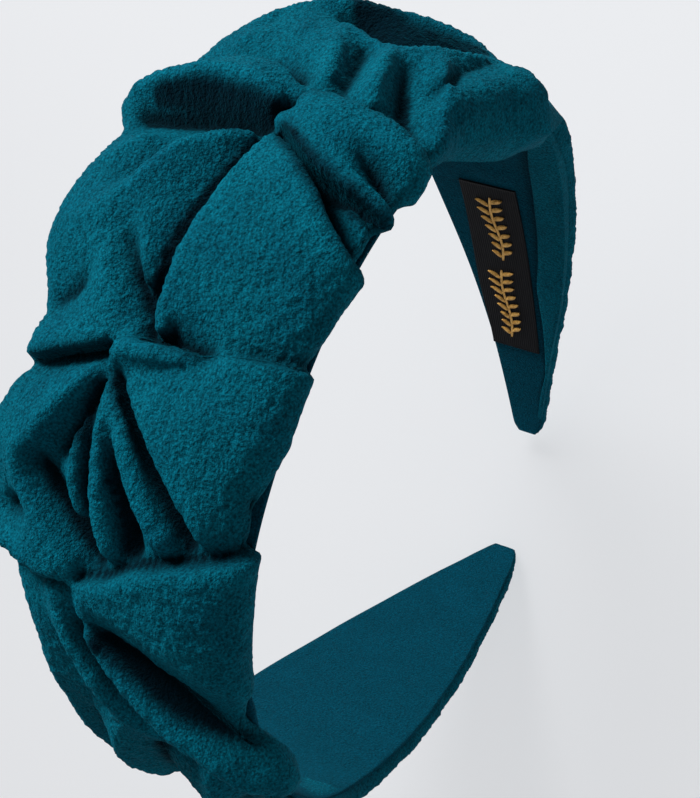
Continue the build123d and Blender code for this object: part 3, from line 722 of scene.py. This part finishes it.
def inset_edges(inset):
    """Front and back edges of a layer that stops short of the cover's own edges."""
    back_limit = 1.1 * HALF_WIDTH   # the layer doesn't follow the cover's widest bunches
    narrow = 16                     # where the band is narrower than this, so is the inset
    least = 0.3

    def edges(s):
        front = np.minimum(front_edge(s), HALF_WIDTH)
        back = np.minimum(back_edge(s), back_limit)
        middle = (back - front) / 2
        narrowed = inset * np.minimum(1, (front + back) / narrow)
        half = np.maximum((front + back) / 2 - narrowed, least) * tip_narrowing(s)
        return middle - half, middle + half

    return edges


def level(low, high):
    """A layer of constant thickness."""
    return lambda s: (np.full_like(s, low), np.full_like(s, high))


def along_arm(side, end_gap):
    """Distances from the crown to just short of one tip, in rising order."""
    overlap, step = 0.4, 0.8
    return np.sort(side * np.arange(-overlap, TIP[side] - end_gap, step))


# Slack in the lining above the label: (line of (s, y), depth) of two slanting folds
LINING_FOLDS = [
    ([(104, 11), (112, 5), (117, 0), (122, -4.5), (128, -7)], 0.9),
    ([(104, 6), (112, 2), (117, -2), (122, -6)], 0.6),
]
LINING_FOLD_WIDTH = 1.3


def creased_lining(s, y):
    """How far the slack folds stand off the lining, towards the head."""
    height = 0
    within = along_stretch(s, start=103, rise=4, fall=5, end=120.5)
    for line, depth in LINING_FOLDS:
        off = (y - smooth_curve(s, line)) / LINING_FOLD_WIDTH
        height = height - depth * within * np.exp(-(off ** 2))
    return height


HEM_SHADE = 0.8         # how dark the gap beside the turned hem gets


def hem_edges(s):
    """Edges of the cover's hem where it is turned over the front of the left arm."""
    inner = smooth_curve(s, [
        (90, -17), (98, -12.5), (105, -10.5), (128, -8), (140, -6.5), (150, -5.2), (160, -5.4),
        (175, -4.9), (183, -3.3), (190, -2.2), (198, -1.2),
    ])
    return -front_edge(s) + 0.5, inner


def hem_heights(s):
    """The turned hem stands off the lining most beside the top of the label."""
    rise = smooth_curve(s, [
        (90, -0.5), (100, 0.8), (110, 1.9), (122, 1.7), (135, 0.9), (160, 0.7), (185, 0.5), (198, -0.4),
    ])
    return -rise, np.full_like(s, 1.2)


def beside_hem(s, y):
    """Shade in the narrow gap between the lining and the turned hem."""
    gap = y - hem_edges(s)[1]
    reach = smooth_curve(s, [(92, 2.5), (104, 4.5), (118, 3.2), (140, 1.6), (185, 0.9)])
    within = along_stretch(s, start=92, rise=6, fall=10, end=192)
    return HEM_SHADE * within * np.clip(1 - gap / reach, 0, 1)


# --- Label: a woven tape with a sprig in gold thread ---------------------------------------

LABEL_TOP, LABEL_BOTTOM = 119.5, 170.5
LABEL_FACE = -0.42              # height of the label's visible face, inside the lining
THREAD_RADIUS = 0.17
STITCH_SPACING = 0.27
STITCH_RISE = (0.02, 0.2, 0.26, 0.2, 0.02)      # a stitch's height off the tape, end to end
LEAF_HALF_WIDTH = 0.62
LEAF_REACH, LEAF_REACH_LOSS = 3.0, 0.9          # from the stem to a leaf's tip, less up the sprig
LEAF_SLANT = 1.5                                # how far a leaf's tip lies back along the stem
STEM_HALF_WIDTH = 0.12
SWAY = 0.5                                      # of the stem, from side to side


def label_edges(s):
    """The label lies a little askew, with its back edge along the arm's."""
    front = smooth_curve(s, [(119, -4.4), (171, -3.7)])
    return front, smooth_curve(s, [(119, 8.0), (150, 8.8), (171, 7.6)])


def thread_tubes(name, paths, radius, material, sides=6):
    """Closed round tubes along paths of (s, y, h) points, as one mesh."""
    points, faces, start = [], [], 0
    for path in paths:
        path = np.array(path, float)
        centre = on_band(path[:, 0], path[:, 1], path[:, 2])
        along = np.gradient(centre, axis=0)
        along /= np.linalg.norm(along, axis=1, keepdims=True)
        outward = on_band(path[:, 0], path[:, 1], path[:, 2] + 1) - centre
        outward /= np.linalg.norm(outward, axis=1, keepdims=True)
        aside = np.cross(along, outward)
        ends_thinner = np.concatenate([[0.55], np.ones(len(path) - 2), [0.55]])
        thick = radius * MM * ends_thinner[:, None, None]
        turn = np.linspace(0, 2 * pi, sides, endpoint=False)[None, :, None]
        ring = centre[:, None] + thick * (np.cos(turn) * aside[:, None] + np.sin(turn) * outward[:, None])
        points.append(ring.reshape(-1, 3))
        faces += (tube_faces(len(path), sides) + start).tolist()
        last = start + (len(path) - 1) * sides
        faces.append([start + k for k in range(sides)][::-1])
        faces.append([last + k for k in range(sides)])
        start += len(path) * sides
    return make_mesh(name, np.concatenate(points), faces, material)


def satin_leaf(root, tip):
    """Stitches side by side across a leaf from its root to its tip."""
    root, tip = np.array(root, float), np.array(tip, float)
    axis = tip - root
    length = np.linalg.norm(axis)
    across = np.array([-axis[1], axis[0]]) / length
    stitches = []
    for t in np.arange(STITCH_SPACING, length, STITCH_SPACING) / length:
        wide = LEAF_HALF_WIDTH * sin(pi * t ** 0.8) ** 0.8
        slant = 0.35 * axis / length * wide
        ends = [root + t * axis + k * (wide * across + slant) for k in (-1, -0.5, 0, 0.5, 1)]
        stitches.append([(s, y, LABEL_FACE - up) for (s, y), up in zip(ends, STITCH_RISE)])
    return stitches


def sprig(first, last, middle, leaves):
    """A stem with pairs of leaves, worked in gold thread along the label."""
    def sway(s):
        return middle + SWAY * sin(2 * pi * (s - first) / (last - first))

    paths = []
    for offset in (-STEM_HALF_WIDTH, STEM_HALF_WIDTH):
        paths.append([(s, sway(s) + offset, LABEL_FACE - 0.1) for s in np.linspace(first, last, 40)])
    for k in range(leaves):
        s = first + (last - first) * (k + 0.8) / (leaves + 0.4)
        for side in (-1, 1):
            reach = LEAF_REACH - LEAF_REACH_LOSS * k / leaves
            at = s + 0.5 * side
            paths += satin_leaf((at, sway(at) + 0.2 * side), (at - LEAF_SLANT, sway(at) + side * reach))
    return paths


# --- Materials ----------------------------------------------------------------------------


class Shader:
    """Shorthand for wiring up one node material."""

    def __init__(self, name, **surface):
        self.material = bpy.data.materials.new(name)
        self.material.use_nodes = True
        self.tree = self.material.node_tree
        self.surface = self.tree.nodes["Principled BSDF"]
        self.place = self.tree.nodes.new("ShaderNodeTexCoord").outputs["Object"]
        for key, value in surface.items():
            self.feed(value, self.surface.inputs[key.replace("_", " ")])

    def node(self, kind, **settings):
        made = self.tree.nodes.new(kind)
        for key, value in settings.items():
            setattr(made, key, value)
        return made

    def link(self, out, into):
        self.tree.links.new(out, into)

    def feed(self, value, socket):
        """Gives a socket a link, a colour or a plain value."""
        if hasattr(value, "links"):
            self.link(value, socket)
        elif isinstance(value, tuple):
            socket.default_value = (*value, 1)
        else:
            socket.default_value = value

    def noise(self, size_mm, detail=3, roughness=0.6):
        made = self.node("ShaderNodeTexNoise")
        made.inputs["Scale"].default_value = 1000 / size_mm
        made.inputs["Detail"].default_value = detail
        made.inputs["Roughness"].default_value = roughness
        self.link(self.place, made.inputs["Vector"])
        return made.outputs["Fac"]

    def painted(self, name):
        """The values that set_shade stored on the piece."""
        return self.node("ShaderNodeAttribute", attribute_name=name).outputs["Fac"]

    def ramp(self, value, *stops):
        """Colour from a value, through (position, colour) stops; a plain number is a grey."""
        made = self.node("ShaderNodeValToRGB")
        elements = made.color_ramp.elements
        while len(elements) < len(stops):
            elements.new(0.5)
        for element, (position, colour) in zip(elements, stops):
            element.position = position
            element.color = (*colour, 1) if isinstance(colour, tuple) else (colour, colour, colour, 1)
        self.link(value, made.inputs["Fac"])
        return made.outputs["Color"]

    def times(self, a, b):
        """Two colours multiplied."""
        made = self.node("ShaderNodeMix", data_type="RGBA", blend_type="MULTIPLY")
        for socket, value in (("Factor", 1.0), ("A", a), ("B", b)):
            self.feed(value, made.inputs[socket])
        return made.outputs["Result"]

    def colour(self, value):
        self.feed(value, self.surface.inputs["Base Color"])

    def bump(self, height, strength, depth_mm):
        made = self.node("ShaderNodeBump")
        made.inputs["Strength"].default_value = strength
        made.inputs["Distance"].default_value = depth_mm * MM
        self.link(height, made.inputs["Height"])
        self.link(made.outputs["Normal"], self.surface.inputs["Normal"])


def suede(name, grain, dark, mid, light):
    """Brushed suede: mottled nap, with painted shade in the creases and valleys and a painted highlight on
    the ridges.
    """
    shader = Shader(name, Roughness=0.92, Specular_IOR_Level=0.03, Sheen_Weight=0.10,
                    Sheen_Roughness=0.55, Sheen_Tint=(0.0, 0.55, 0.8))
    brushed = shader.ramp(shader.noise(9), (0.25, dark), (0.5, mid), (0.75, light))
    flecks = shader.ramp(shader.noise(grain, 2), (0.32, 0.42), (0.68, 1.6))
    # Painted shade: the colour turns nearly black where the stored shade is high, in creases, hollows and
    # beside the hem
    shadowed = shader.ramp(shader.painted("painted_shade"), (0.0, 1), (1.0, (0.04, 0.05, 0.07)))
    # Painted shade in the valleys and a painted highlight on the ridges, from how far each place stands out
    spread = shader.node("ShaderNodeMapRange")
    spread.inputs["From Min"].default_value = -3
    spread.inputs["From Max"].default_value = 3
    shader.link(shader.painted("relief"), spread.inputs["Value"])
    relief_shade_and_highlight = shader.ramp(spread.outputs["Result"], (0.0, 0.3), (0.5, 1), (1.0, 1.35))
    shader.colour(shader.times(shader.times(shader.times(brushed, shadowed), relief_shade_and_highlight), flecks))
    shader.bump(shader.noise(grain * 1.2, 2), 0.8, 0.6)
    return shader.material


def ribbed_tape():
    """Black satin-woven tape with fine lengthwise ribs."""
    rib = 0.5
    shader = Shader("label_black", Roughness=0.7, Specular_IOR_Level=0.12)
    ribs = shader.node("ShaderNodeTexWave", bands_direction="Y")
    ribs.inputs["Scale"].default_value = 2 * pi / 20 / (rib * MM)
    ribs.inputs["Distortion"].default_value = 0.6
    shader.link(shader.place, ribs.inputs["Vector"])
    shader.colour(shader.ramp(shader.noise(3), (0.3, (0.0015, 0.0015, 0.003)), (0.8, (0.004, 0.0042, 0.006))))
    shader.bump(ribs.outputs["Fac"], 0.5, 0.15)
    return shader.material


def gold_thread():
    """Twisted gold embroidery thread."""
    shader = Shader("label_gold", Metallic=0.35, Roughness=0.42)
    shader.colour(shader.ramp(shader.noise(0.8, 2), (0.3, (0.42, 0.20, 0.03)), (0.7, (0.85, 0.50, 0.13))))
    shader.bump(shader.noise(0.25, 2), 0.5, 0.1)
    return shader.material


def plastic():
    """Dark moulded plastic, hidden inside the band."""
    shader = Shader("hoop_plastic", Roughness=0.45)
    shader.colour(shader.ramp(shader.noise(6), (0.3, (0.015, 0.016, 0.018)), (0.7, (0.03, 0.03, 0.034))))
    shader.bump(shader.noise(0.4, 2), 0.15, 0.1)
    return shader.material


def foam():
    """Open-celled padding, hidden inside the band."""
    shader = Shader("padding_foam", Roughness=0.95)
    shader.colour(shader.ramp(shader.noise(1.2), (0.3, (0.45, 0.44, 0.40)), (0.7, (0.68, 0.66, 0.60))))
    shader.bump(shader.noise(0.7), 0.8, 0.4)
    return shader.material


cover_suede = suede(
    "cover_suede", grain=0.4,
    dark=(0.0002, 0.047, 0.074), mid=(0.0003, 0.060, 0.090), light=(0.0005, 0.074, 0.108),
)
lining_suede = suede(
    "lining_suede", grain=0.35,
    dark=(0.0002, 0.027, 0.046), mid=(0.0002, 0.031, 0.053), light=(0.0003, 0.035, 0.060),
)
label_black = ribbed_tape()
label_gold = gold_thread()
hoop_plastic = plastic()
padding_foam = foam()


# --- The pieces -----------------------------------------------------------------------------

folds, painted_shade, relief = fold_field()


def lining(arm, side):
    """The lining of one arm. The left one is slack above the label and shaded beside the hem."""
    detail = (creased_lining, beside_hem) if side == LEFT else ()
    return strip(f"lining_{arm}", along_arm(side, 1.6), inset_edges(0.9), level(0, 1), lining_suede, *detail)


covers = {arm: cover_half(f"cover_{arm}", side, cover_suede) for arm, side in ARMS.items()}
linings = {arm: lining(arm, side) for arm, side in ARMS.items()}
cores = {
    arm: strip(f"core_{arm}", along_arm(side, 5), inset_edges(3.4), level(1.15, 2.6), hoop_plastic)
    for arm, side in ARMS.items()
}
paddings = {
    arm: strip(f"padding_{arm}", along_arm(side, 6), inset_edges(4.0), level(2.7, 3.3), padding_foam)
    for arm, side in ARMS.items()
}
turned_hem = strip("turned_hem", np.arange(90, 198, 0.5), hem_edges, hem_heights, cover_suede)
label_reach = np.arange(LABEL_TOP, LABEL_BOTTOM, 0.5)
label = strip("woven_label_tape", label_reach, label_edges, level(LABEL_FACE, 0.05), label_black)
sprigs = sprig(123, 142, 1.7, 7) + sprig(145.5, 166.5, 2.6, 8)
embroidery = thread_tubes("embroidery", sprigs, THREAD_RADIUS, label_gold)


# --- The soft pieces take the place of the frame's parts -----------------------------------


def flex(piece):
    """Bakes a piece's placement into its points."""
    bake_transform(piece)


# Each layer, the CAD nodes it stands for on each body, and its material slot. The crown's nodes are hidden
# too.
for layer, nodes, slot in (
    (covers, ("cover", "knot_tacks"), "cover_suede"),
    (linings, ("lining",), "lining_suede"),
    (cores, ("core",), "hoop_plastic"),
    (paddings, ("foam",), "padding_foam"),
):
    for arm, piece in layer.items():
        flex(piece)
        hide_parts(*(f"{arm}_arm_{node}" for node in nodes))
    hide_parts(*(f"crown_{node}" for node in nodes))

for piece in (turned_hem, label, embroidery):
    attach(piece, "left_arm")
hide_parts("woven_label")
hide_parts("label_motif")


# --- Studio -----------------------------------------------------------------------------

FLOOR_HALF = 3000.0
FLOOR_GAP = 0.6         # between the floor and the lowest point of the headband
AMBIENT = 0.18
LENS = 63.1
EYE = (-0.00345, -0.11025, 0.22381)     # in metres, as the lights' places are
EYE_TURN = (radians(11.26), radians(24.46), radians(-68.82))


def receivers(name, *pieces):
    """A collection of pieces that a light can be limited to."""
    group = bpy.data.collections.new(name)
    for piece in pieces:
        group.objects.link(piece)
    return group


def add_floor():
    """A pale paper floor under the tips."""
    paper = Shader("paper", Roughness=0.9)
    paper.colour(paper.ramp(paper.noise(400, 2), (0.3, (0.80, 0.81, 0.83)), (0.7, (0.84, 0.85, 0.87))))
    size = FLOOR_HALF * MM
    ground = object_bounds()[0][2] - FLOOR_GAP * MM
    corners = [(-size, -size, ground), (size, -size, ground), (size, size, ground), (-size, size, ground)]
    floor = make_mesh("floor", corners, [(0, 1, 2, 3)], paper.material)
    floor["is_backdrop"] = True
    return floor


def add_surroundings():
    """Faint bluish light from all round."""
    world = bpy.data.worlds.new("studio")
    bpy.context.scene.world = world
    world.use_nodes = True
    background = world.node_tree.nodes["Background"]
    background.inputs["Color"].default_value = (0.95, 0.97, 1, 1)
    background.inputs["Strength"].default_value = AMBIENT


def add_light(name, place, wide, watts, lit, blocking):
    """A round soft light aimed at the headband, for some pieces only."""
    light = bpy.data.lights.new(name, "AREA")
    light.shape = "DISK"
    light.size = wide
    light.energy = watts
    lamp = bpy.data.objects.new(name, light)
    lamp.location = place
    lamp.rotation_euler = (-Vector(place)).to_track_quat("-Z", "Y").to_euler()
    lamp.light_linking.receiver_collection = lit
    lamp.light_linking.blocker_collection = blocking
    bpy.context.collection.objects.link(lamp)


def add_camera():
    """The camera, above and in front of the crown, looking steeply down."""
    camera = bpy.data.cameras.new("camera")
    camera.lens = LENS
    camera.clip_start = 0.005
    eye = bpy.data.objects.new("camera", camera)
    eye.location = EYE
    eye.rotation_euler = EYE_TURN
    bpy.context.collection.objects.link(eye)
    bpy.context.scene.camera = eye
    bpy.context.scene.view_settings.view_transform = "Standard"


floor = add_floor()
add_surroundings()
headband = receivers("headband", *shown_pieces())
backdrop = receivers("backdrop", floor)
add_light("key", (0.4, 0.5, 0.65), 0.3, 14.4, headband, None)
add_light("fill", (-0.5, -0.6, 0.6), 0.9, 2, headband, None)
add_light("floor_light", (0.2, 0.1, 0.9), 0.9, 8.7, backdrop, backdrop)
add_light("floor_shade", (0.6, 0.3, 0.7), 0.5, 1.6, backdrop, None)
add_camera()
